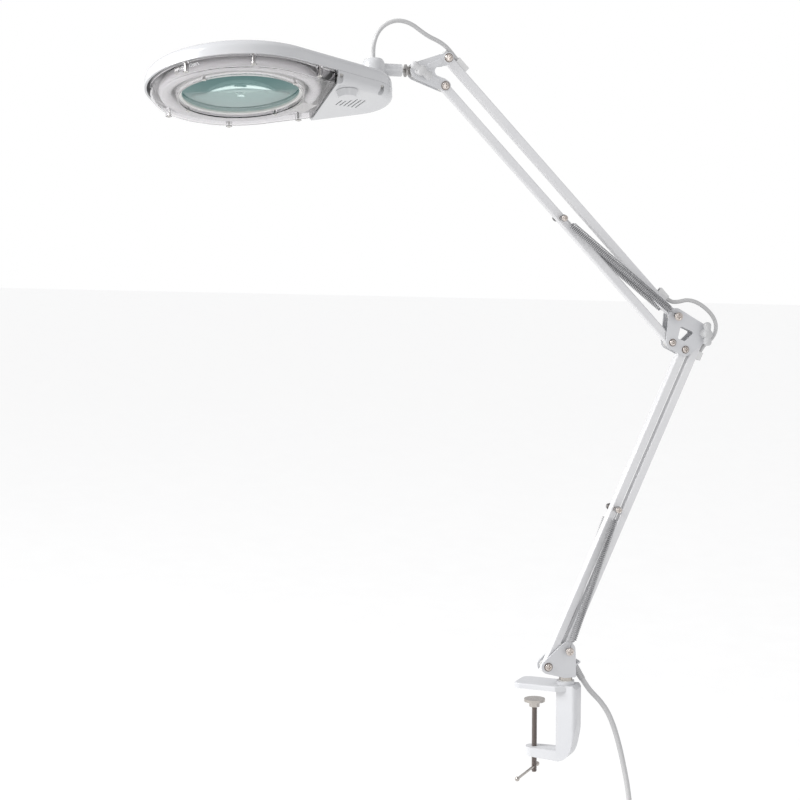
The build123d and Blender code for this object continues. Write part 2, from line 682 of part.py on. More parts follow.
# mains cord: millimetres in the row frame, from the gland's tip to the coil
CORD_ROUTE = [(22.29, 14.82, 9.2), (26.95, 18.65, -0.42), (33.0, 21.0, -8.0), (41.0, 22.0, -15.6),
              (49.0, 22.6, -26.0), (55.4, 23.0, -39.0), (60.6, 23.2, -54.0), (65.4, 23.3, -71.0),
              (69.8, 23.3, -90.0), (74.0, 23.2, -110.0), (77.0, 22.6, -130.0), (78.4, 21.2, -147.5),
              (78.5, 19.4, -165.0), (78.0, 18.0, -181.4)]
COIL_R = 31.9
COIL_AT = (43.5, 27.0, -203.0)
COIL_HALF_Y, COIL_HALF_R = 12.4, 6.0
COIL_ROUND = 5.8
TAIL_ROUTE = [(78.0, 24.0, -224.8), (78.3, 24.1, -237.5), (78.1, 24.1, -250.0)]


def cord_coil():
    x, y, z = COIL_AT
    outline = RectangleRounded(2 * COIL_HALF_R, 2 * COIL_HALF_Y, COIL_ROUND)
    section = Plane.XZ * (Pos(COIL_R, 0) * outline)
    return Pos(x, y, z) * Rot(90, 0, 0) * revolve(section, Axis.Z)


def coil_tie():
    """Strap round the coil, on its far side from the cord."""
    x, y, z = COIL_AT
    band = Box(2 * COIL_HALF_R + 3.6, 9, 2 * COIL_HALF_Y + 2.8)
    band -= Box(2 * COIL_HALF_R + 1.4, 12, 2 * COIL_HALF_Y + 0.4)
    return Pos(x, y, z) * Rot(90, 0, 0) * Rot(0, 0, -90) * Pos(COIL_R, 0, 0) * band


def plug():
    """Two-pin moulded mains plug, pins down."""
    x, y, z = TAIL_ROUTE[-1]
    body = Pos(0, 0, -10) * Cone(8.0, 4.2, 20)
    body += Pos(0, 0, -30) * (extrude(RectangleRounded(26, 14, 6.5), 11, both=True))
    for side in (-9.5, 9.5):
        body += Pos(side, 0, -49.5) * Cylinder(2.0, 19)
    return Pos(x, y, z) * body


# ---------------------------------------------------------------- write every piece
def write_clamp():
    save("clamp_frame", clamp_frame())
    save("swivel_bush", swivel_bush())
    save("clamp_pad", clamp_pad())
    save("clamp_screw", clamp_screw())
    save("tee_bar", tee_bar())


def write_base():
    save("base_bracket", ARM * base_bracket())
    save("base_post", ARM * base_post())
    save("base_bolts", ARM * (pivot_bolt(P1) + spring_bolt(P2, 4.7)))
    save("base_washers", ARM * washers(P1, P2))
    save("cord_gland", ARM * cord_gland())


def write_lower_arm():
    save("lower_front_tube", ARM * arm_tube(P1, low_dir, ANCHOR))
    save("lower_front_plugs", ARM * tube_plugs(P1, low_dir))
    save("lower_anchor_bolt", ARM * spring_bolt(LOW_ANCHOR, 3.4))
    save("lower_rear_tube", ARM * arm_tube(P2, low_dir))
    save("lower_rear_plugs", ARM * tube_plugs(P2, low_dir))
    save("lower_lead_cap", ARM * lead_cap(D, low_dir, low_out, -20, -29.5))


def write_elbow():
    bolts = pivot_bolt(B, 3.6) + pivot_bolt(C, 3.6) + spring_bolt(A, 4.8) + knob_bolt(D, -PLATE_OUT)
    plates = elbow_plate(-PLATE_OUT, -PLATE_IN) + elbow_plate(PLATE_IN, PLATE_OUT)
    save("elbow_plates", ARM * plates)
    save("elbow_bolts", ARM * bolts)
    save("elbow_spacers", ARM * (washers(A, B, C, D) + elbow_spacer()))
    save("elbow_wing_knob", ARM * wing_knob(D, 92, -PLATE_OUT - GAP))


def write_upper_arm():
    save("upper_front_tube", ARM * arm_tube(B, up_dir, ANCHOR))
    save("upper_front_plugs", ARM * tube_plugs(B, up_dir))
    save("upper_anchor_bolt", ARM * spring_bolt(UP_ANCHOR, 3.4))
    save("upper_back_tube", ARM * arm_tube(A, up_dir))
    save("upper_back_plugs", ARM * tube_plugs(A, up_dir))
    caps = lead_cap(E2, up_dir, up_out, -9, -24.5) + lead_cap(A, up_dir, up_out, 20.5, 34)
    save("upper_lead_caps", ARM * caps)


def write_fork():
    save("fork_plates", ARM * (fork_plate(-PLATE_OUT, -PLATE_IN) + fork_plate(PLATE_IN, PLATE_OUT)))
    save("fork_bolts", ARM * (pivot_bolt(E1) + pivot_bolt(E2) + knob_bolt(HUB, -PLATE_OUT)))
    save("fork_spacers", ARM * (washers(E1, E2) + fork_spacers()))
    save("fork_wing_knob", ARM * wing_knob(HUB, -34, -PLATE_OUT - GAP))


def write_neck():
    save("tilt_tongue", tongue())
    save("neck_screw", neck_screw())
    save("neck_tube", neck_tube())
    save("neck_dome", dome())
    save("swivel_stud", swivel_stud())
    save("lead_grommet", lead_grommet())


def write_head():
    pieces = {"housing_top": housing_top, "housing_bottom": housing_bottom,
              "housing_fasteners": housing_fasteners, "clear_cover": cover_body,
              "cover_screws": cover_screws, "reflector": reflector, "lens_rings": lens_rings,
              "lens": lens, "lens_lid": lens_lid,
              "lamp_tube": lamp_tube, "lamp_holder": lamp_holder, "lamp_clips": lamp_clips,
              "switch_knob": switch_knob}
    for name, build in pieces.items():
        save(name, HEAD * build())
    save("ballast_and_switch", HEAD * (ballast_board() + switch_body()))


def write_springs():
    for name, eye, anchor in (("lower", P2, LOW_ANCHOR), ("upper", A, UP_ANCHOR)):
        direction, length = toward(eye, anchor)
        back = (-direction[0], -direction[1])
        sides = (-HOOK_Y, HOOK_Y)
        feet = spring_hooks(eye, direction, sides)
        save(name + "_springs", ARM * (spring_coils(eye, direction, 12.8, length - 12.8) + feet))
        save(name + "_spring_hooks", ARM * spring_hooks(anchor, back, sides))
        print(name, "spring length", round(length, 1), "direction", direction)


def write_cords():
    save("head_lead", head_lead())
    save("elbow_lead", elbow_lead())
    cord = flexible("cord from gland", CORD_ROUTE, CORD_DIA) + flexible("cord to plug", TAIL_ROUTE, CORD_DIA)
    save("mains_cord", cord)
    save("cord_coil", cord_coil())
    save("coil_tie", coil_tie())
    save("mains_plug", plug())


def print_frame():
    points = {"P1": P1, "P2": P2, "C": C, "D": D, "B": B, "A": A, "E1": E1, "E2": E2, "HUB": HUB}
    for label, point in points.items():
        place = (ARM * Pos(point[0], 0, point[1])).position
        print(label, [round(value / 1000, 6) for value in place])
    for label, place in (("neck", NECK_FRAME), ("head", HEAD)):
        plane = Plane(place)
        for part, vector in (("x", plane.x_dir), ("y", plane.y_dir), ("z", plane.z_dir)):
            print(label, part, [round(value, 6) for value in vector])
        print(label, "origin", [round(value / 1000, 6) for value in plane.origin])
    gland_tip = (ARM * gland_frame() * Pos(0, 0, 22)).position
    print("gland tip", [round(v, 2) for v in gland_tip])


os.makedirs("parts", exist_ok=True)
write_clamp()
write_base()
write_lower_arm()
write_elbow()
write_upper_arm()
write_fork()
write_neck()
write_head()
write_springs()
write_cords()
print_frame()
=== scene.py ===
import json
import math
import bpy
from mathutils import Matrix, Vector


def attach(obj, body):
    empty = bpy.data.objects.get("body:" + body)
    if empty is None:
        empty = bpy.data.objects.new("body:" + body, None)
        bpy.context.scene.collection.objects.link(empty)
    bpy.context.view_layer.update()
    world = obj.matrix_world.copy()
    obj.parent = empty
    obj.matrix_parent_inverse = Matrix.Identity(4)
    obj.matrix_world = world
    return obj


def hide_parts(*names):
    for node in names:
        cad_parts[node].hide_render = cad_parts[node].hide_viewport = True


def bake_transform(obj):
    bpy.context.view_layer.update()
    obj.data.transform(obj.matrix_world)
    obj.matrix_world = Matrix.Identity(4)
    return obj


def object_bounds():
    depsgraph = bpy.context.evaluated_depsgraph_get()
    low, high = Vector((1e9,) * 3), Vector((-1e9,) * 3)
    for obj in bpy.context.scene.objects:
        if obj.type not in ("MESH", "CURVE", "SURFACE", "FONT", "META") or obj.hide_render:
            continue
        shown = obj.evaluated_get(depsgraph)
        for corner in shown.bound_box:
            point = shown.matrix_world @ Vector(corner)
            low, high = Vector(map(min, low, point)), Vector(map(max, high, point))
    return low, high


# Looks of a bench magnifying lamp. Lengths are in metres; names ending in _MM hold millimetres.
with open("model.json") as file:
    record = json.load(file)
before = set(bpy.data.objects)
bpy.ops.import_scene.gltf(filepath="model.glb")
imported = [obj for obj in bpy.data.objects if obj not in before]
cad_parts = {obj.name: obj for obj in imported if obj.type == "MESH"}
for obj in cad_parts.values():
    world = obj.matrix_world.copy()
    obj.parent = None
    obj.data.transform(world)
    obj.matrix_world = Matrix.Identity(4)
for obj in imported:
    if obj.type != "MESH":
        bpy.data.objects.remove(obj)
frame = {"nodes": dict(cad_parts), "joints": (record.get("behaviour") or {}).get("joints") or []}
CAD_BOX = [list(corner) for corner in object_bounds()]
MM = 0.001

# ---------------------------------------------------------------- places, from the frame
JOINTS = {joint["name"]: joint for joint in frame["joints"]}
NODES = frame["nodes"]


def spot(joint):
    return Vector(JOINTS[joint]["pos_m"])


def turning(joint):
    return Vector(JOINTS[joint]["axis"]).normalized()


UP = Vector((0, 0, 1))
NEAR = turning("lower_arm")              # out of the arm's plane, towards its near side
AWAY = UP.cross(NEAR)                    # along the arm's plane, away from the head
POST = spot("base_swivel")
P1, P2 = spot("lower_front_link"), spot("lower_arm")
D, A, B = spot("elbow_level"), spot("upper_arm"), spot("upper_front_link")
E2, HUB = spot("fork_level"), spot("head_tilt")
LOW_RUN, HIGH_RUN = D - P2, E2 - A
C, E1 = P1 + LOW_RUN, B + HIGH_RUN
LOW_DIR, HIGH_DIR = LOW_RUN.normalized(), HIGH_RUN.normalized()
ANCHOR = 193.5 * MM
LOW_ANCHOR, HIGH_ANCHOR = P1 + LOW_DIR * ANCHOR, B + HIGH_DIR * ANCHOR
NECK, HEAD_X, HEAD_Z = spot("head_swivel"), turning("neck_roll"), turning("head_swivel")
HEAD_Y = HEAD_Z.cross(HEAD_X)
RING = NECK + HEAD_X * 0.146 - HEAD_Z * 0.0273
SCREW_AXIS = spot("screw_turn")


def arm(x_mm, y_mm, z_mm):
    """A point in the arm's upright plane: x away from the head, y to the back, z up."""
    return POST + (AWAY * x_mm - NEAR * y_mm + UP * z_mm) * MM


def neck(x_mm, y_mm, z_mm):
    """A point in the head's axes, measured from its swivel."""
    return NECK + (HEAD_X * x_mm + HEAD_Y * y_mm + HEAD_Z * z_mm) * MM


def head(x_mm, y_mm, z_mm):
    """A point in the head's axes, measured from the middle of the ring."""
    return RING + (HEAD_X * x_mm + HEAD_Y * y_mm + HEAD_Z * z_mm) * MM


# ---------------------------------------------------------------- camera, floor and light
def add_camera():
    """A long lens on the lamp's near side, tipped slightly down."""
    data = bpy.data.cameras.new("camera")
    data.lens = 89.71
    data.sensor_width = 36.0
    data.clip_end = 60.0
    camera = bpy.data.objects.new("camera", data)
    camera.location = (0.71643, -2.10794, 0.55421)
    camera.rotation_euler = (math.radians(84.2), 0.0, math.radians(23.44))
    bpy.context.scene.collection.objects.link(camera)
    bpy.context.scene.camera = camera


def add_light(name, place, target, size, power):
    """A rectangular soft light aimed at a point."""
    data = bpy.data.lights.new(name, "AREA")
    data.shape = "RECTANGLE"
    data.size, data.size_y = size
    data.energy = power
    light = bpy.data.objects.new(name, data)
    light.location = place
    aim = Vector(target) - Vector(place)
    light.rotation_euler = aim.to_track_quat("-Z", "Y").to_euler()
    bpy.context.scene.collection.objects.link(light)


def add_world():
    """White to look at; what lights the lamp is brighter at the sides than overhead."""
    world = bpy.data.worlds.new("studio")
    world.use_nodes = True
    nodes, links = world.node_tree.nodes, world.node_tree.links
    background = nodes["Background"]
    shown = nodes.new("ShaderNodeBackground")
    shown.inputs["Color"].default_value = (1.0, 1.0, 1.0, 1.0)
    shown.inputs["Strength"].default_value = 1.0
    coords = nodes.new("ShaderNodeTexCoord")
    split = nodes.new("ShaderNodeSeparateXYZ")
    links.new(coords.outputs["Generated"], split.inputs["Vector"])
    ramp = nodes.new("ShaderNodeValToRGB")
    ramp.color_ramp.elements[0].position = 0.02
    ramp.color_ramp.elements[0].color = (0.98, 0.98, 0.99, 1.0)
    ramp.color_ramp.elements[1].position = 0.75
    ramp.color_ramp.elements[1].color = (0.66, 0.66, 0.67, 1.0)
    links.new(split.outputs["Z"], ramp.inputs["Fac"])
    links.new(ramp.outputs["Color"], background.inputs["Color"])
    background.inputs["Strength"].default_value = 0.84
    paths = nodes.new("ShaderNodeLightPath")
    mix = nodes.new("ShaderNodeMixShader")
    links.new(paths.outputs["Is Camera Ray"], mix.inputs["Fac"])
    links.new(background.outputs["Background"], mix.inputs[1])
    links.new(shown.outputs["Background"], mix.inputs[2])
    links.new(mix.outputs["Shader"], nodes["World Output"].inputs["Surface"])
    bpy.context.scene.world = world


def add_floor():
    """A wide pale floor just below the lamp, with a glow that keeps it nearly white."""
    low = CAD_BOX[0][2] - 0.004
    half = 14.0
    mesh = bpy.data.meshes.new("floor")
    mesh.from_pydata([(-half, -half, low), (half, -half, low), (half, half, low), (-half, half, low)],
                     [], [(0, 1, 2, 3)])
    floor = bpy.data.objects.new("floor", mesh)
    bpy.context.scene.collection.objects.link(floor)
    paint = painted("floor_paint", (0.26, 0.26, 0.26), (0.24, 0.24, 0.24), roughness=(0.7, 0.8))
    glow = paint.node_tree.nodes["Principled BSDF"]
    glow.inputs["Emission Color"].default_value = (1.0, 1.0, 1.0, 1.0)
    glow.inputs["Emission Strength"].default_value = 0.74
    mesh.materials.append(paint)


# ---------------------------------------------------------------- materials
PATCHES = 18.0                   # patches of slightly different colour per metre
FACTOR_LOW, FACTOR_HIGH = 0.35, 0.65     # the part of a noise's range that is stretched over the whole


def new_material(name):
    """A material with its nodes, its links and its main shader."""
    made = bpy.data.materials.new(name)
    made.use_nodes = True
    return made, made.node_tree.nodes, made.node_tree.links, made.node_tree.nodes["Principled BSDF"]


def noise(nodes, links, scale, detail):
    """Noise in the object's own metres; scale is in features per metre."""
    coords = nodes.new("ShaderNodeTexCoord")
    texture = nodes.new("ShaderNodeTexNoise")
    texture.inputs["Scale"].default_value = scale
    texture.inputs["Detail"].default_value = detail
    links.new(coords.outputs["Object"], texture.inputs["Vector"])
    return texture.outputs["Fac"]


def between(nodes, links, factor, low, high):
    """A value that follows a factor from low to high."""
    spread = nodes.new("ShaderNodeMapRange")
    spread.inputs["From Min"].default_value = FACTOR_LOW
    spread.inputs["From Max"].default_value = FACTOR_HIGH
    spread.inputs["To Min"].default_value = low
    spread.inputs["To Max"].default_value = high
    links.new(factor, spread.inputs["Value"])
    return spread.outputs["Result"]


def two_tone(nodes, links, factor, first, second):
    """A colour that follows a factor from the first to the second."""
    ramp = nodes.new("ShaderNodeValToRGB")
    ramp.color_ramp.elements[0].position = FACTOR_LOW
    ramp.color_ramp.elements[0].color = (*first, 1.0)
    ramp.color_ramp.elements[1].position = FACTOR_HIGH
    ramp.color_ramp.elements[1].color = (*second, 1.0)
    links.new(factor, ramp.inputs["Fac"])
    return ramp.outputs["Color"]


def add_bump(nodes, links, shader, height, depth):
    """A bump in the surface's shading, depth metres high."""
    bump = nodes.new("ShaderNodeBump")
    bump.inputs["Strength"].default_value = 1.0
    bump.inputs["Distance"].default_value = depth
    links.new(height, bump.inputs["Height"])
    links.new(bump.outputs["Normal"], shader.inputs["Normal"])


def painted(name, colour, second, roughness=(0.35, 0.45), peel=900.0, depth=0.000006, metallic=0.0,
            coat=0.0):
    """Patchy colour and gloss over a fine bump: paint, plastic or bare metal."""
    made, nodes, links, shader = new_material(name)
    large = noise(nodes, links, PATCHES, 4.0)
    links.new(two_tone(nodes, links, large, colour, second), shader.inputs["Base Color"])
    middle = noise(nodes, links, PATCHES * 6, 3.0)
    links.new(between(nodes, links, middle, roughness[0], roughness[1]), shader.inputs["Roughness"])
    fine = noise(nodes, links, peel, 2.0)
    add_bump(nodes, links, shader, fine, depth)
    shader.inputs["Metallic"].default_value = metallic
    if coat:
        shader.inputs["Coat Weight"].default_value = coat
        shader.inputs["Coat Roughness"].default_value = 0.08
    return made


def clear_plastic():
    """Moulded clear plastic with a little haze and waviness."""
    made, nodes, links, shader = new_material("clear_plastic")
    shader.inputs["Base Color"].default_value = (0.92, 0.91, 0.92, 1.0)
    shader.inputs["Transmission Weight"].default_value = 1.0
    shader.inputs["IOR"].default_value = 1.27
    haze = noise(nodes, links, 60.0, 3.0)
    links.new(between(nodes, links, haze, 0.03, 0.10), shader.inputs["Roughness"])
    add_bump(nodes, links, shader, noise(nodes, links, 150.0, 2.0), 0.0001)
    return made


def lens_glass():
    """Green-tinted glass with a faint painted glow that stands in for the light scattered in its
    thickness.
    """
    made, nodes, links, shader = new_material("lens_glass")
    shader.inputs["Transmission Weight"].default_value = 1.0
    shader.inputs["IOR"].default_value = 1.52
    smear = noise(nodes, links, 40.0, 4.0)
    tint = two_tone(nodes, links, smear, (0.78, 0.92, 0.89), (0.82, 0.94, 0.91))
    links.new(tint, shader.inputs["Base Color"])
    links.new(between(nodes, links, smear, 0.0, 0.03), shader.inputs["Roughness"])
    # painted glow: the glass gives off a faint teal light of its own
    shader.inputs["Emission Color"].default_value = (0.12, 0.62, 0.60, 1.0)
    shader.inputs["Emission Strength"].default_value = 0.03
    return made


MAT = {}


def make_materials():
    """Every material of the lamp, named after what it is on."""
    MAT["bracket"] = painted("bracket_paint", (0.60, 0.605, 0.625), (0.63, 0.635, 0.65))
    MAT["tube"] = painted("tube_paint", (0.69, 0.69, 0.705), (0.72, 0.72, 0.73), coat=0.3)
    MAT["plug_grey"] = painted("tube_plug_plastic", (0.68, 0.68, 0.68), (0.72, 0.72, 0.72))
    # near-black rings under the near bolt heads: painted shade round their edges
    MAT["painted_shade_ring"] = painted("painted_shade_ring_steel", (0.16, 0.13, 0.12), (0.22, 0.19, 0.17), metallic=0.8,
                            roughness=(0.3, 0.45))
    MAT["nylon"] = painted("nylon", (0.80, 0.79, 0.75), (0.84, 0.83, 0.80), roughness=(0.45, 0.6))
    MAT["screw_steel"] = painted("screw_steel", (0.20, 0.175, 0.165), (0.30, 0.265, 0.25), metallic=0.9,
                                 roughness=(0.3, 0.5))
    MAT["bar_steel"] = painted("bar_steel", (0.42, 0.39, 0.36), (0.52, 0.49, 0.46), metallic=1.0,
                               roughness=(0.22, 0.38))
    MAT["bolt"] = painted("bolt_chrome", (0.56, 0.51, 0.475), (0.66, 0.61, 0.575), metallic=1.0,
                          roughness=(0.12, 0.25))
    MAT["dark_steel"] = painted("neck_steel", (0.30, 0.29, 0.28), (0.42, 0.41, 0.40), metallic=0.9,
                                roughness=(0.3, 0.45))
    MAT["spring"] = painted("spring_steel", (0.36, 0.36, 0.37), (0.46, 0.46, 0.47), metallic=1.0,
                            roughness=(0.2, 0.32))
    MAT["knob"] = painted("knob_plastic", (0.53, 0.535, 0.54), (0.57, 0.57, 0.575),
                          roughness=(0.32, 0.42))
    MAT["cord"] = painted("cord_sheath", (0.50, 0.50, 0.505), (0.54, 0.54, 0.54), roughness=(0.35, 0.5))
    MAT["shell"] = painted("shell_plastic", (0.56, 0.565, 0.58), (0.59, 0.595, 0.605),
                           roughness=(0.16, 0.24), peel=1400.0, depth=0.00001, coat=0.4)
    MAT["reflector"] = painted("reflector_white", (0.66, 0.655, 0.66), (0.70, 0.695, 0.70),
                               roughness=(0.2, 0.3))
    MAT["lamp"] = painted("lamp_white_glass", (0.74, 0.735, 0.74), (0.78, 0.775, 0.78),
                          roughness=(0.05, 0.1), coat=0.8)
    MAT["holder"] = painted("holder_plastic", (0.74, 0.74, 0.72), (0.78, 0.78, 0.76))
    MAT["plated"] = painted("plated_steel", (0.55, 0.54, 0.52), (0.68, 0.67, 0.65), metallic=1.0,
                            roughness=(0.2, 0.35))
    MAT["board"] = painted("ballast_board", (0.04, 0.10, 0.05), (0.06, 0.13, 0.07), roughness=(0.4, 0.6))
    MAT["clear"] = clear_plastic()
    MAT["lens"] = lens_glass()


def dress(name, *nodes):
    """Gives CAD nodes their material."""
    for node in nodes:
        mesh = NODES[node].data
        mesh.materials.clear()
        mesh.materials.append(MAT[name])


# ---------------------------------------------------------------- mesh helpers
def place_piece(name, parts, material, body=None, replaces=()):
    """One object from (points, faces) parts."""
    points, faces = [], []
    for part_points, part_faces in parts:
        start = len(points)
        points.extend(part_points)
        faces.extend(tuple(start + index for index in face) for face in part_faces)
    mesh = bpy.data.meshes.new(name)
    mesh.from_pydata([tuple(point) for point in points], [], faces)
    mesh.validate()
    mesh.shade_smooth()
    mesh.set_sharp_from_angle(angle=math.radians(35))
    mesh.materials.append(MAT[material])
    piece = bpy.data.objects.new(name, mesh)
    bpy.context.scene.collection.objects.link(piece)
    if replaces:
        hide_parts(*replaces)
    if body:
        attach(piece, body)
    return piece


def square_to(direction):
    """Two unit vectors square to a direction."""
    direction = direction.normalized()
    helper = UP if abs(direction.z) < 0.9 else Vector((1, 0, 0))
    first = direction.cross(helper).normalized()
    return first, direction.cross(first)


def lathe(profile, origin, axis, sides=32):
    """A turned shape: profile holds (radius, height) in millimetres along an axis."""
    first, second = square_to(axis)
    axis = axis.normalized()
    points, faces, rows = [], [], []
    for radius, height in profile:
        centre = origin + axis * height * MM
        if radius < 1e-6:
            rows.append([len(points)] * sides)
            points.append(centre)
            continue
        rows.append([len(points) + k for k in range(sides)])
        for k in range(sides):
            angle = 2 * math.pi * k / sides
            points.append(centre + (first * math.cos(angle) + second * math.sin(angle)) * radius * MM)
    for low, high in zip(rows, rows[1:]):
        for k in range(sides):
            corners = (low[k], low[(k + 1) % sides], high[(k + 1) % sides], high[k])
            unique = tuple(dict.fromkeys(corners))
            if len(unique) > 2:
                faces.append(unique)
    return points, faces


def tube_rings(path, radius, sides):
    """Rings of points round a path, turned as little as can be from one to the next."""
    tangents = []
    for k in range(len(path)):
        tangents.append((path[min(k + 1, len(path) - 1)] - path[max(k - 1, 0)]).normalized())
    side, _ = square_to(tangents[0])
    rings = []
    for point, tangent in zip(path, tangents):
        side = (side - tangent * side.dot(tangent)).normalized()
        other = tangent.cross(side)
        ring = []
        for k in range(sides):
            angle = 2 * math.pi * k / sides
            ring.append(point + (side * math.cos(angle) + other * math.sin(angle)) * radius)
        rings.append(ring)
    return rings


def skin(rings, close_start=True, close_end=True):
    """Faces between rings of equal size, with a cap at each end unless it stays open."""
    points = [point for ring in rings for point in ring]
    sides = len(rings[0])
    faces = []
    for row in range(len(rings) - 1):
        for k in range(sides):
            here, there = row * sides, (row + 1) * sides
            faces.append((here + k, here + (k + 1) % sides, there + (k + 1) % sides, there + k))
    if close_start:
        faces.append(tuple(reversed(range(sides))))
    if close_end:
        faces.append(tuple(range(len(points) - sides, len(points))))
    return points, faces


def nurbs(name, points, thickness=0.0):
    """A smooth curve with these points as its control points."""
    curve = bpy.data.curves.new(name, "CURVE")
    curve.dimensions = "3D"
    curve.bevel_depth = thickness / 2
    curve.bevel_resolution = 5
    curve.use_fill_caps = True
    curve.resolution_u = 10
    spline = curve.splines.new("NURBS")
    spline.points.add(len(points) - 1)
    for control, point in zip(spline.points, points):
        control.co = (*point, 1.0)
    spline.order_u = 3
    spline.use_endpoint_u = True
    piece = bpy.data.objects.new(name, curve)
    bpy.context.scene.collection.objects.link(piece)
    return piece


def smooth_path(points):
    """The points along a smooth curve through a route."""
    guide = nurbs("guide", points)
    mesh = bpy.data.meshes.new_from_object(guide.evaluated_get(bpy.context.evaluated_depsgraph_get()))
    path = [vertex.co.copy() for vertex in mesh.vertices]
    bpy.data.meshes.remove(mesh)
    bpy.data.objects.remove(guide)
    return path


# ---------------------------------------------------------------- mains cord
CORD_DIAMETER = 6.0 * MM
GLAND_TIP = (22.29, 14.82, 9.2)
CORD_ROUTE = [GLAND_TIP, (26.95, 18.65, -0.42), (33.0, 21.0, -8.0), (41.0, 22.0, -15.6),
              (49.0, 22.6, -26.0), (55.4, 23.0, -39.0), (60.6, 23.2, -54.0), (65.4, 23.3, -71.0),
              (69.8, 23.3, -90.0), (74.0, 23.2, -110.0), (77.0, 22.6, -130.0), (78.4, 21.2, -147.5),
              (78.5, 19.4, -165.0), (78.0, 18.0, -181.4)]
COIL_CENTRE = (43.5, 27.0, -203.0)
TAIL_ROUTE = [(78.0, 24.0, -224.8), (78.3, 24.1, -237.5), (78.1, 24.1, -250.0)]
OUTER, INNER = 34.5, 29.3          # radii of the coil's two layers, millimetres
# the seven places in the bundle's section, in the order the turns take them: radius and offset along Y
PLACES = [(OUTER, -9), (INNER, -6), (INNER, 0), (INNER, 6), (OUTER, 9), (OUTER, 3), (OUTER, -3)]
SHIFTS = [350, 297, 244, 191, 138, 85]     # degrees round each turn where the move to the next place ends
SHIFT_LENGTH = 45                          # degrees that a move takes
STEPS_PER_TURN = 24


def coil_points():
    """Control points of six turns that pass through the places one after another."""
    points = []
    for step in range(1, len(SHIFTS) * STEPS_PER_TURN):
        turn, angle = divmod(step * 360 / STEPS_PER_TURN, 360)
        turn = int(turn)
        share = min(max((angle - SHIFTS[turn]) / SHIFT_LENGTH + 1, 0.0), 1.0)
        share = share * share * (3 - 2 * share)
        here, there = PLACES[turn], PLACES[turn + 1]
        radius = here[0] + (there[0] - here[0]) * share
        offset = here[1] + (there[1] - here[1]) * share
        turned = math.radians(-angle)
        x, y, z = COIL_CENTRE
        points.append((x + radius * math.cos(turned), y + offset, z + radius * math.sin(turned)))
    return points


def make_mains_cord():
    """The cord in one run: over the edge from the gland, down into the coil and out to the plug."""
    tail = [(78.0, 24.0, -207.0), (78.0, 24.0, -215.0)] + TAIL_ROUTE[:-1]
    inside_plug = (TAIL_ROUTE[-1][0], TAIL_ROUTE[-1][1], TAIL_ROUTE[-1][2] - 6.0)
    route = CORD_ROUTE + [(78.0, 18.0, -192.0)] + coil_points() + tail + [TAIL_ROUTE[-1], inside_plug]
    cord = nurbs("mains_cord_sheath", [Vector(point) * MM for point in route], CORD_DIAMETER)
    cord.data.materials.append(MAT["cord"])
    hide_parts("mains_cord", "cord_coil")
    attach(cord, "base")
    plug = make_plug()
    tie = make_tie()


def loft(sections, centre, sides=40):
    """Stacked rounded outlines: each holds height, half width, half depth and squareness."""
    rings = []
    for height, half_x, half_y, square in sections:
        ring = []
        for k in range(sides):
            angle = 2 * math.pi * k / sides
            reach_x = abs(math.cos(angle)) ** (2 / square) * math.copysign(half_x, math.cos(angle))
            reach_y = abs(math.sin(angle)) ** (2 / square) * math.copysign(half_y, math.sin(angle))
            ring.append(centre + Vector((reach_x, reach_y, height)) * MM)
        rings.append(ring)
    return skin(rings)


def make_plug():
    """Two-pin moulded plug hanging from the cord's end, with finger ribs on its neck."""
    centre = Vector(TAIL_ROUTE[-1]) * MM
    sections = [(0.0, 3.9, 3.9, 2.0), (-0.8, 4.6, 4.6, 2.0)]
    for rib in range(6):
        top = -2.0 - rib * 2.6
        wide = 4.7 + rib * 0.55
        sections += [(top, wide, wide, 2.0), (top - 1.4, wide + 0.1, wide + 0.1, 2.0),
                     (top - 1.7, wide - 0.7, wide - 0.7, 2.0), (top - 2.3, wide - 0.7, wide - 0.7, 2.0)]
    sections += [(-18.5, 8.2, 6.6, 2.2), (-20.5, 11.0, 6.9, 2.8), (-23.0, 12.5, 7.0, 3.4),
                 (-28.0, 12.9, 7.0, 3.8), (-36.0, 13.0, 7.0, 3.8), (-40.0, 12.8, 6.9, 3.8),
                 (-41.0, 12.0, 6.2, 3.4)]
    body = place_piece("plug_body", [loft(sections, centre)], "cord", "base", ["mains_plug"])
    sleeve_profile = [(2.0, -0.6), (2.0, 9.6), (1.7, 9.9)]
    tip_profile = [(1.8, 9.0), (2.0, 9.2), (2.0, 16.8), (1.7, 17.6), (1.0, 18.0), (0.0, 18.0)]
    sleeves, tips = [], []
    for side in (-9.5, 9.5):
        root = centre + Vector((side, 0, -41)) * MM
        sleeves.append(lathe(sleeve_profile, root, -UP, 20))
        tips.append(lathe(tip_profile, root, -UP, 20))
    sleeve = place_piece("plug_pin_sleeves", sleeves, "plug_grey", "base")
    tip = place_piece("plug_pin_tips", tips, "plated", "base")
    for piece in (sleeve, tip):
        place = piece.matrix_world.copy()
        piece.parent = body
        piece.matrix_parent_inverse = body.matrix_world.inverted()
        piece.matrix_world = place
    return body


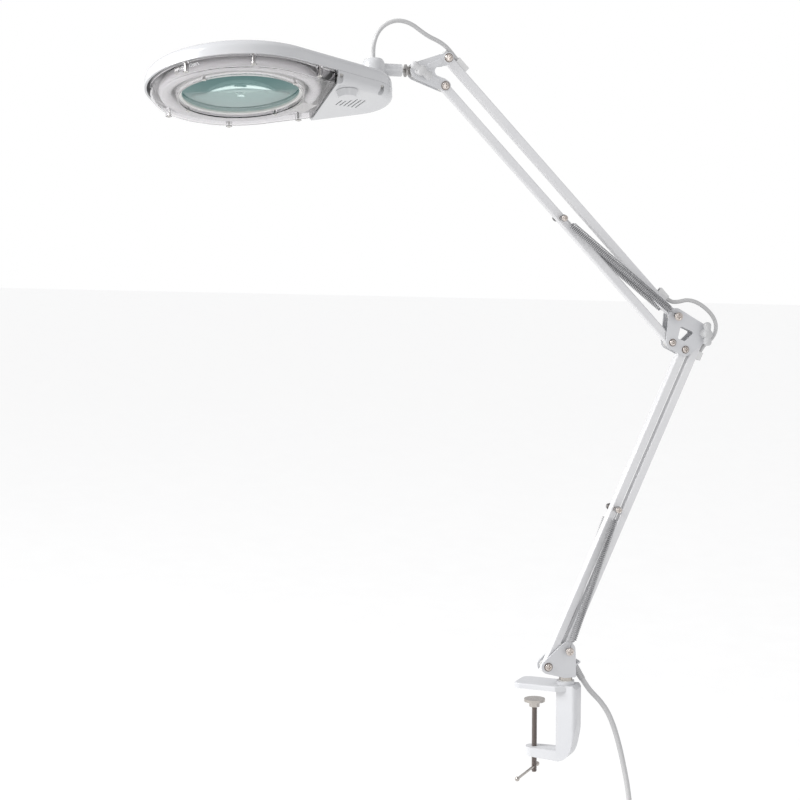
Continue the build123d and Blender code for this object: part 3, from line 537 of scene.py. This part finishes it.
def make_tie():
    """Flat strap round the coil's lowest part, with its buckle."""
    x, y, z = COIL_CENTRE
    centre = Vector((x, y, z - (OUTER + INNER) / 2)) * MM
    half_deep, half_wide, half_band, thick, sides = 6.2, 12.6, 4.0, 0.7, 48
    edge = Vector((half_band * MM, 0, 0))
    rings = []
    for k in range(sides):
        angle = 2 * math.pi * k / sides
        reach_y = abs(math.cos(angle)) ** 0.5 * math.copysign(half_wide, math.cos(angle))
        reach_z = abs(math.sin(angle)) ** 0.5 * math.copysign(half_deep, math.sin(angle))
        out = Vector((0, reach_y / half_wide, reach_z / half_deep)).normalized()
        middle = centre + Vector((0, reach_y, reach_z)) * MM
        raised = middle + out * thick * MM
        rings.append([middle - edge, raised - edge * 0.9, raised + edge * 0.9, middle + edge])
    strap = skin(rings + [rings[0]], False, False)
    buckle = loft([(-8.6, 3.4, 3.6, 3.0), (-8.2, 4.4, 4.6, 4.0), (-6.4, 4.6, 4.8, 4.0),
                   (-5.9, 4.0, 4.2, 3.0)], centre)
    return place_piece("coil_strap", [strap, buckle], "plug_grey", "base", ["coil_tie"])


# ---------------------------------------------------------------- leads along the arm
LEAD_RADIUS_MM = 2.3
LEAD_GAP_MM = 7.25               # lead's centre off the middle of its tube


def beside(pivot, direction, outward, along_mm):
    """A point of a lead that lies along the outer side of its tube."""
    return pivot + direction * along_mm * MM + outward * LEAD_GAP_MM * MM


def lead_pieces(name, route, spans):
    """A lead cut into spans, each but the last ending at the path's point nearest its given point."""
    path = smooth_path(route)
    rings = tube_rings(path, LEAD_RADIUS_MM * MM, 14)
    cuts = [0]
    for _, _, last in spans[:-1]:
        cuts.append(min(range(len(path)), key=lambda k: (path[k] - last).length))
    cuts.append(len(path) - 1)
    made = []
    for number, (body, other, _) in enumerate(spans):
        first, final = cuts[number], cuts[number + 1]
        part = skin(rings[first:final + 1], number == 0, number == len(spans) - 1)
        piece = place_piece(f"{name}_{number + 1}", [part], "cord")
        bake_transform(piece)
        made.append(piece)
    return made


def make_leads():
    """The lead's two loops: over the fork to the head, and round the elbow."""
    high_out = HIGH_DIR.cross(NEAR)
    low_out = LOW_DIR.cross(NEAR)
    head_route = [neck(0, 0, 4), neck(0, 0, 17)]
    head_route += [arm(x, 0, z) for x, z in ((-224.2, 719), (-219.8, 730), (-212, 738), (-202, 742.3),
                                             (-191.5, 742.3), (-181, 738.5), (-172, 732), (-162.5, 726),
                                             (-151.5, 721.5), (-141.5, 714.5))]
    head_route += [beside(E2, HIGH_DIR, high_out, along) for along in (-7, -22)]
    spans = [("neck", "tongue", arm(-219.8, 0, 730)), ("tongue", "fork", arm(-186, 0, 740.5)),
             ("fork", "upper_back", E2)]
    pieces = lead_pieces("head_lead_span", head_route, spans)
    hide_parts("head_lead")
    elbow_route = [beside(A, HIGH_DIR, high_out, along) for along in (26, 15)]
    elbow_route += [arm(x, 0, z) for x, z in ((131.5, 436.6), (142.8, 439.3), (155, 436.2), (165.6, 429.4),
                                              (174.6, 420.6), (179.4, 410.5), (178.2, 400.5),
                                              (172.2, 392.4))]
    elbow_route += [beside(D, LOW_DIR, low_out, along) for along in (-14, -26)]
    spans = [("upper_back", "elbow", arm(160.5, 0, 433)), ("elbow", "lower_rear", D)]
    pieces = lead_pieces("elbow_lead_span", elbow_route, spans)
    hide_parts("elbow_lead")


# ---------------------------------------------------------------- springs
SPRING_SIDE_MM = 12.4                       # a spring's axis off the arm's plane
EYE_MM, COIL_MM, WIRE_MM = 3.6, 3.65, 0.6   # radii of the end rings, the coils and the wire
COIL_START_MM = 12.8                        # from a bolt's centre to the first turn
SPRING_PITCH_MM = 2.1
EYE_STEPS, TURN_STEPS = 20, 14


def spring_wire(eye, anchor, side_mm):
    """One tension spring: a ring round each bolt and evenly spaced turns between them."""
    run = anchor - eye
    length_mm = run.length / MM
    along = run.normalized()
    across = NEAR.cross(along)
    centre = eye + NEAR * side_mm * MM

    def place(u, v, w):
        return centre + (along * u + across * v + NEAR * w) * MM

    path = []
    for k in range(2, EYE_STEPS):
        share = k / EYE_STEPS
        t = 2 * math.pi * share
        path.append(place(EYE_MM * math.cos(t), EYE_MM * math.sin(t), 2 * WIRE_MM * (1 - share)))
    path += [place(EYE_MM + 1.6, -0.2, 0), place(EYE_MM + 4.0, 0, 0)]
    turns = int((length_mm - 2 * COIL_START_MM) / SPRING_PITCH_MM)
    steps = turns * TURN_STEPS
    for k in range(steps + 1):
        t = 2 * math.pi * k / TURN_STEPS
        ease = min(1.0, k / TURN_STEPS, (steps - k) / TURN_STEPS)
        reach = COIL_MM * (0.25 + 0.75 * ease)
        u = COIL_START_MM - 1.5 + (length_mm - 2 * COIL_START_MM + 3.0) * k / steps
        path.append(place(u, reach * math.cos(t), reach * math.sin(t)))
    path += [place(length_mm - EYE_MM - 4.0, 0, 0), place(length_mm - EYE_MM - 1.6, 0.2, 0)]
    for k in range(EYE_STEPS - 2):
        share = k / EYE_STEPS
        t = 2 * math.pi * share
        path.append(place(length_mm - EYE_MM * math.cos(t), EYE_MM * math.sin(t), -2 * WIRE_MM * share))
    return skin(tube_rings(path, WIRE_MM * MM, 6))


def make_springs():
    """Two springs to each arm, between the bolts at their two ends."""
    for name, eye, anchor in (("lower", P2, LOW_ANCHOR), ("upper", A, HIGH_ANCHOR)):
        parts = [spring_wire(eye, anchor, side) for side in (-SPRING_SIDE_MM, SPRING_SIDE_MM)]
        piece = place_piece(name + "_spring_wires", parts, "spring")
        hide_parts(name + "_springs", name + "_spring_hooks")
        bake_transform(piece)


# ---------------------------------------------------------------- clamp screw and strain relief
def make_clamp_screw():
    """The threaded rod: one helical ridge between two plain ends."""
    low, high, outer, root, pitch, sides = -100.5, -20.0, 3.0, 2.45, 1.0, 24
    top, bottom = high - 2.5, low + 1.0
    turns = int((top - bottom) / pitch)
    base = Vector((SCREW_AXIS.x, SCREW_AXIS.y, 0))
    points, faces = [], []
    profile = ((root, 0.0), (outer, 0.35), (outer, 0.5), (root, 0.85))
    for k in range(turns * sides + 1):
        angle = 2 * math.pi * k / sides
        for radius, rise in profile:
            height = bottom + pitch * (k / sides + rise)
            height = min(max(height, bottom), top)
            points.append(base + Vector((radius * math.cos(angle), radius * math.sin(angle), height)) * MM)
    size = len(profile)
    for k in range(turns * sides):
        for j in range(size - 1):
            here, there = k * size + j, (k + 1) * size + j
            faces.append((here, there, there + 1, here + 1))
        above = (k + sides) * size
        if k + sides + 1 <= turns * sides:
            faces.append((k * size + size - 1, (k + 1) * size + size - 1, above + size, above))
    low_end = [(0.0, low), (2.2, low), (2.6, low + 0.5), (2.6, bottom + 0.6)]
    high_end = [(2.5, top - 0.4), (2.7, top), (2.7, high - 0.4), (2.3, high), (0.0, high)]
    parts = [(points, faces), lathe(low_end, base, UP, sides), lathe(high_end, base, UP, sides)]
    place_piece("threaded_screw", parts, "screw_steel", "screw", ["clamp_screw"])


def make_gland():
    """Ribbed strain relief that tapers along the cord."""
    lean = math.radians(32.0)
    axis = (AWAY * math.sin(lean) - UP * math.cos(lean)).normalized()
    origin = arm(9.5, 1.7, 28.0)
    profile = [(3.05, -3.8), (4.3, -3.8), (4.7, -3.4), (4.7, -0.8), (3.6, -0.8), (3.6, 0.8), (4.7, 0.8),
               (4.7, 2.4), (4.3, 2.8)]
    ribs = 8
    for k in range(ribs):
        start = 3.2 + k * 2.3
        wide = 4.3 - 0.1 * k
        profile += [(wide - 0.6, start), (wide - 0.6, start + 0.6), (wide, start + 0.8),
                    (wide, start + 2.0)]
    profile += [(3.6, 21.6), (3.3, 22.0), (3.05, 22.0)]
    place_piece("ribbed_gland", [lathe(profile, origin, axis)], "cord", "base", ["cord_gland"])


# ---------------------------------------------------------------- bolts, knobs and small screws
PLATE_FACE_MM = 8.0              # outer faces of the plates, either side of the arm's plane
SHAFT_MM = 2.45                  # radius of the bolts


def cross_head(origin, axis, radius, height, sides=48):
    """A domed head whose cross recess faces along the axis."""
    first, second = square_to(axis)
    axis = axis.normalized()
    steps = ((1.0, 0.0), (1.0, 0.42), (0.96, 0.6), (0.86, 0.8), (0.72, 0.92), (0.62, 0.97), (0.56, 0.98),
             (0.44, 0.99), (0.34, 1.0), (0.22, 1.0), (0.12, 1.0))
    arm_half, arm_reach, recess = 0.15, 0.60, 0.55
    rings = []
    for share, rise in steps:
        ring = []
        for k in range(sides):
            angle = 2 * math.pi * k / sides
            across, up = share * math.cos(angle), share * math.sin(angle)
            sunk = share < arm_reach and min(abs(across), abs(up)) < arm_half
            level = rise - recess if sunk else rise
            ring.append(origin + (first * across + second * up) * radius * MM + axis * level * height * MM)
        rings.append(ring)
    return skin(rings, False, True)


def bolt(point, head_mm, nut_mm):
    """A bolt across the arm: cross head at the near side, hexagon nut and thread end at the far side."""
    front, back = point + NEAR * PLATE_FACE_MM * MM, point - NEAR * PLATE_FACE_MM * MM
    parts = [cross_head(front, NEAR, head_mm, 2.4),
             lathe([(SHAFT_MM, 0.0), (SHAFT_MM, 2 * PLATE_FACE_MM)], front, -NEAR, 20)]
    nut = [(2.4, 0.0), (nut_mm * 0.9, 0.0), (nut_mm, 0.35), (nut_mm, 2.6), (nut_mm * 0.9, 3.0), (2.4, 3.0)]
    parts.append(lathe(nut, back, -NEAR, 6))
    thread = []
    for k in range(4):
        thread += [(2.1, 2.6 + 0.2 * k), (2.4, 2.7 + 0.2 * k)]
    parts.append(lathe(thread + [(2.0, 3.5), (0.0, 3.5)], back, -NEAR, 20))
    return parts


def spring_bolt(point, head_mm):
    """A bolt with a head at each end for a pair of springs."""
    reach = 15.3
    near, far = point + NEAR * reach * MM, point - NEAR * reach * MM
    bar = lathe([(2.3, 0.0), (2.3, 2 * reach)], far, NEAR, 20)
    return [cross_head(near, NEAR, head_mm, 1.6), cross_head(far, -NEAR, head_mm, 1.6), bar]


def knob_bolt(point):
    """A bolt from the far side whose thread end the wing knob holds."""
    far = point - NEAR * PLATE_FACE_MM * MM
    shaft = [(SHAFT_MM, 0.0), (SHAFT_MM, 24.0), (2.1, 24.5), (0.0, 24.5)]
    return [cross_head(far, -NEAR, 4.6, 2.4), lathe(shaft, far, NEAR, 20)]


def knob_lobe(centre, along, reach_mm):
    """Half of a wing: a plump round-ended blade that narrows at the hub."""
    across = NEAR.cross(along)
    steps, sides = 24, 28
    least = 0.05                 # half size of the flat at the very tip
    rings = []
    for step in range(steps + 1):
        share = step / steps
        place = centre + along * reach_mm * share * MM
        tip = math.sqrt(max(0.0, 1 - max(0.0, (share - 0.72) / 0.28) ** 2))
        swell = math.sin(math.pi * min(1.0, share / 0.8) / 2) ** 2
        wide = max(least, (3.1 + 1.3 * swell) * tip)
        deep = max(least, (4.6 - 1.4 * share) * (0.25 + 0.75 * tip))
        ring = []
        for k in range(sides):
            turn = 2 * math.pi * k / sides
            side, lift = math.cos(turn), math.sin(turn)
            side = math.copysign(abs(side) ** 0.8, side)
            lift = math.copysign(abs(lift) ** 0.8, lift)
            ring.append(place + (across * side * wide + NEAR * lift * deep) * MM)
        rings.append(ring)
    return skin(rings)


def make_knobs():
    """Wing knobs: a domed hub with a blind hole for the bolt, and two lobes."""
    hub = [(2.7, 8.3), (5.2, 8.3), (5.5, 8.6), (5.5, 17.5), (5.2, 19.3), (4.3, 20.6), (2.6, 21.2),
           (0.0, 21.3), (0.0, 17.3), (2.7, 17.3)]
    middle_mm, reach_mm = 16.6, 13.5
    for name, point, turn in (("elbow", D, 92.0), ("fork", HUB, -34.0)):
        angle = math.radians(turn)
        along = (AWAY * math.cos(angle) + UP * math.sin(angle)).normalized()
        middle = point + NEAR * middle_mm * MM
        parts = [lathe(hub, point, NEAR, 40)]
        parts += [knob_lobe(middle, way, reach_mm) for way in (along, -along)]
        place_piece(name + "_knob_body", parts, "knob", name + "_knob", [name + "_wing_knob"])


PIVOT_HEAD_MM, PIVOT_NUT_MM = 4.2, 4.4
SMALL_HEAD_MM, SMALL_NUT_MM = 3.6, 4.0


def make_bolts():
    """The bolts of each bracket, and the two that hold the springs' upper ends."""
    pivot = (PIVOT_HEAD_MM, PIVOT_NUT_MM)
    small = (SMALL_HEAD_MM, SMALL_NUT_MM)
    sets = {
        "base": bolt(P1, *pivot) + spring_bolt(P2, 4.7),
        "elbow": bolt(B, *small) + bolt(C, *small) + spring_bolt(A, 4.8) + knob_bolt(D),
        "fork": bolt(E1, *pivot) + bolt(E2, *pivot) + knob_bolt(HUB),
    }
    for body, parts in sets.items():
        place_piece(body + "_bolt_set", parts, "bolt", body, [body + "_bolts"])
    for name, point, body in (("lower", LOW_ANCHOR, "lower_front"), ("upper", HIGH_ANCHOR, "upper_front")):
        place_piece(name + "_spring_anchor", spring_bolt(point, 3.4), "bolt", body,
                    [name + "_anchor_bolt"])


def raised_bar(start, end, half_wide_mm, high_mm):
    """A round-ended rib standing off the near face of a plate."""
    along = (end - start).normalized()
    across = NEAR.cross(along)
    sides = 32
    rings = []
    for inset, rise in ((0.0, 0.0), (0.0, 0.5), (0.25, 0.85), (0.6, 1.0), (1.2, 1.0)):
        reach = (half_wide_mm - inset) * MM
        ring = []
        for k in range(sides):
            angle = 2 * math.pi * k / sides
            centre = end if math.cos(angle) > 0 else start
            offset = (along * math.cos(angle) + across * math.sin(angle)) * reach
            ring.append(centre + NEAR * (PLATE_FACE_MM + rise * high_mm) * MM + offset)
        rings.append(ring)
    return skin(rings)


def make_painted_shade_rings():
    """Near-black rings under the near heads, painted shade round each head's edge."""
    hole, level, thick = 2.5, PLATE_FACE_MM, 0.55
    sets = {"base": (PIVOT_HEAD_MM, P1), "elbow": (SMALL_HEAD_MM, B, C), "fork": (PIVOT_HEAD_MM, E1, E2)}
    for body, (head_mm, *pivots) in sets.items():
        rim = head_mm + 0.75
        profile = [(hole, level), (rim, level), (rim, level + 0.4), (rim - 0.2, level + thick),
                   (hole, level + thick)]
        parts = [lathe(profile, point, NEAR, 40) for point in pivots]
        place_piece(body + "_painted_shade_rings", parts, "painted_shade_ring", body)


def make_fork_ribs():
    """A pressed rib along each arm of the fork and a round pad at its pivot."""
    parts = []
    for pivot in (E1, E2):
        run = (pivot - HUB).normalized() * MM
        parts.append(raised_bar(HUB + run * 13.5, pivot - run * 11.0, 3.3, 0.7))
        parts.append(raised_bar(pivot - run * 0.05, pivot + run * 0.05, 5.5, 0.4))
    place_piece("fork_ribs", parts, "bracket", "fork")


COVER_SCREWS_MM = ((69, 65), (6, 94.6), (-68, 70.4), (64, -69.8), (-6, -94.6), (-77, -65.6))
LIP_SCREW_CIRCLE_MM = 66.9


def make_head_screws():
    """Six screws in the cover's lugs and four round the lens."""
    shaft = [(1.4, 0.0), (1.4, 9.6), (1.1, 10.0), (1.1, 17.5)]
    parts = []
    for x, y in COVER_SCREWS_MM:
        parts.append(cross_head(head(x, y, -10.0), -HEAD_Z, 2.6, 0.9))
        parts.append(lathe(shaft, head(x, y, -10.2), HEAD_Z, 16))
    for quarter in range(4):
        turn = math.radians(45 + 90 * quarter)
        place = head(LIP_SCREW_CIRCLE_MM * math.cos(turn), LIP_SCREW_CIRCLE_MM * math.sin(turn), -11.0)
        parts.append(cross_head(place, -HEAD_Z, 2.1, 1.0))
        parts.append(lathe([(1.15, 0.0), (1.15, 4.2)], place, HEAD_Z, 12))
    place_piece("cover_screw_set", parts, "plated", "head", ["cover_screws"])


# ---------------------------------------------------------------- everything
def dress_cad_nodes():
    """Materials of the CAD nodes, those under a finer piece too."""
    dress("bracket", "clamp_frame", "base_bracket", "elbow_plates", "fork_plates")
    dress("tube", "lower_front_tube", "lower_rear_tube", "upper_front_tube", "upper_back_tube")
    dress("plug_grey", "lower_front_plugs", "lower_rear_plugs", "upper_front_plugs", "upper_back_plugs",
          "lower_lead_cap", "upper_lead_caps")
    dress("nylon", "swivel_bush", "base_washers", "elbow_spacers", "fork_spacers")
    dress("bar_steel", "tee_bar", "clamp_pad", "base_post")
    dress("screw_steel", "clamp_screw")
    dress("bolt", "base_bolts", "elbow_bolts", "fork_bolts", "lower_anchor_bolt", "upper_anchor_bolt")
    dress("dark_steel", "tilt_tongue", "neck_screw")
    dress("spring", "lower_springs", "lower_spring_hooks", "upper_springs", "upper_spring_hooks")
    dress("knob", "elbow_wing_knob", "fork_wing_knob")
    dress("cord", "mains_cord", "cord_coil", "mains_plug", "cord_gland", "coil_tie", "head_lead",
          "elbow_lead", "lead_grommet")
    dress("shell", "housing_top", "housing_bottom", "neck_dome", "neck_tube", "switch_knob", "lens_lid")
    dress("clear", "clear_cover")
    dress("plated", "housing_fasteners", "cover_screws", "swivel_stud")
    dress("reflector", "reflector")
    dress("holder", "lens_rings", "lamp_holder", "lamp_clips")
    dress("lens", "lens")
    dress("lamp", "lamp_tube")
    dress("board", "ballast_and_switch")


def add_lights():
    """A large key from the near left, with weak fill and top lights."""
    aim = (-0.1, -0.1, 0.4)
    add_light("key", (-2.3, -1.9, 2.1), aim, (1.8, 1.8), 118.0)
    add_light("fill", (2.2, -2.0, 0.7), aim, (0.8, 1.8), 5.0)
    add_light("top", (0.3, 0.5, 2.8), aim, (1.6, 1.6), 3.0)


def build():
    """Materials, stage, dressed frame and finer pieces, in this order."""
    bpy.context.scene.view_settings.view_transform = "Standard"
    make_materials()
    add_camera()
    add_world()
    add_lights()
    add_floor()
    dress_cad_nodes()
    make_mains_cord()
    make_leads()
    make_springs()
    make_clamp_screw()
    make_gland()
    make_knobs()
    make_bolts()
    make_painted_shade_rings()
    make_fork_ribs()
    make_head_screws()


build()
